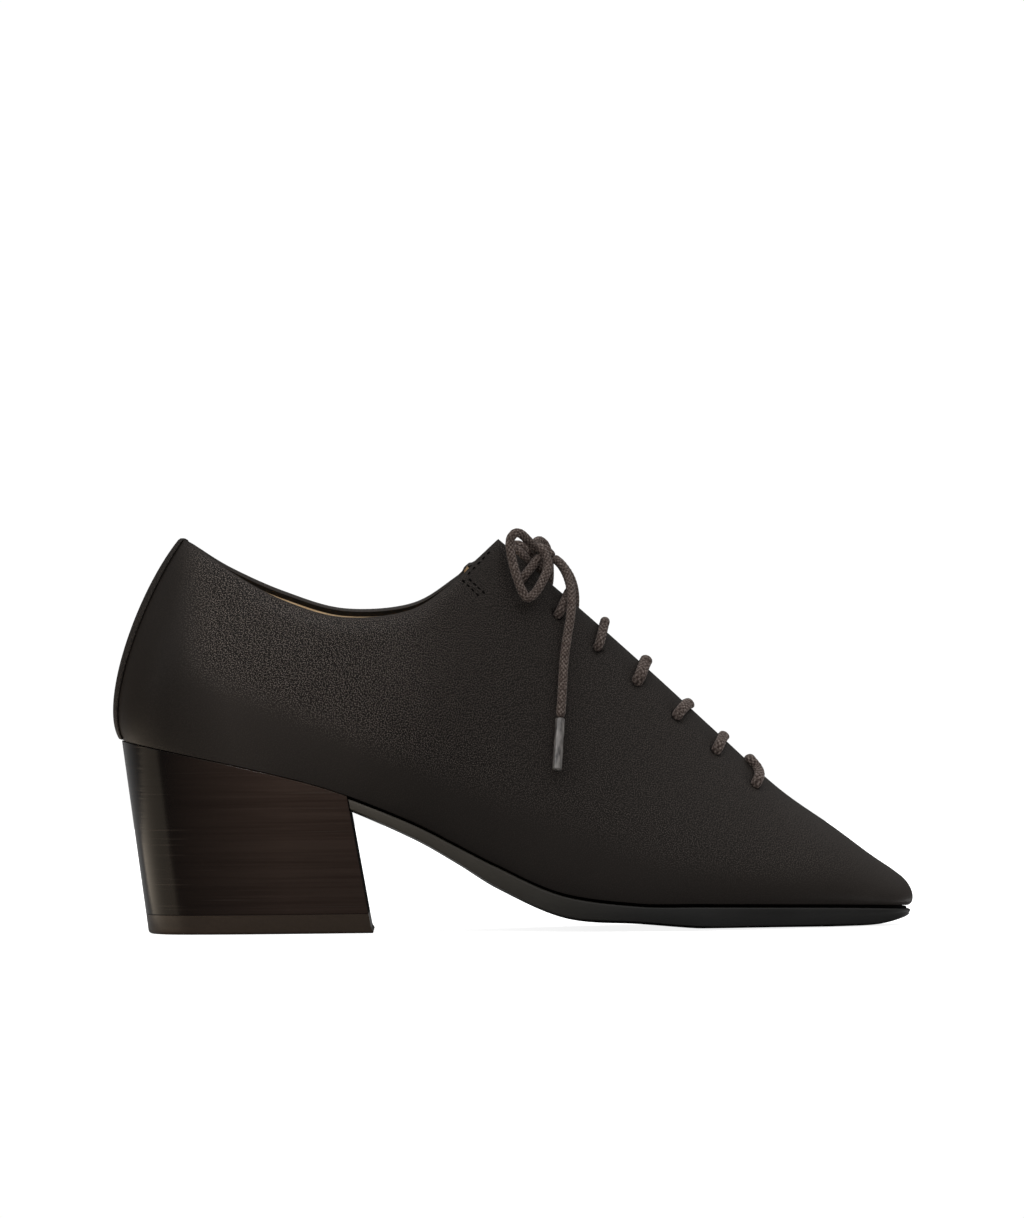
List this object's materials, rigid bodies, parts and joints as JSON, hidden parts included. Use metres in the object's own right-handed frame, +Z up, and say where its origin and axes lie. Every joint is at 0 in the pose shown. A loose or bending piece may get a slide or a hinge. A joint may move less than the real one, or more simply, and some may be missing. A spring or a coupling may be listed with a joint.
{
  "type": "high-heeled shoe",
  "caption": "Right-foot lace-up shoe with a pointed toe, plain dark leather upper, thin arched sole and a mid-height stacked block heel.",
  "frame": {"origin": "on the floor, under the middle of the shoe's length and width without its bow", "axes": "+X forward to the toe, +Y to the medial side (the shoe's left), +Z up"},
  "size_m": [0.2461, 0.0736, 0.124],
  "materials": {
    "upper_leather": "fine pebble grain, soft sheen",
    "dyed_sole": "dyed and waxed edge, semi-gloss",
    "tan_lining": "matt lining leather",
    "stacked_heel": "stained stacked layers, waxed",
    "heel_lift": "matt",
    "lace_cord": "round braided cord",
    "aglet_plastic": "clear film wrapped on cord"
  },
  "bodies": {
    "root": {"upper": "upper_leather", "back_strip": "upper_leather", "tongue": "upper_leather", "outsole": "dyed_sole", "insole": "tan_lining", "heel": "stacked_heel", "top_lift": "heel_lift", "lace_bar_1": "lace_cord", "lace_bar_2": "lace_cord", "lace_bar_3": "lace_cord", "lace_bar_4": "lace_cord", "lace_bar_5": "lace_cord", "lace_bar_6": "lace_cord", "lace_bar_7": "lace_cord", "lace_knot": "lace_cord", "lace_loop_lateral": "lace_cord", "lace_loop_medial": "lace_cord", "lace_end_lateral": "lace_cord", "lace_end_medial": "lace_cord", "aglet_lateral": "aglet_plastic", "aglet_medial": "aglet_plastic"}
  },
  "joints": []
}
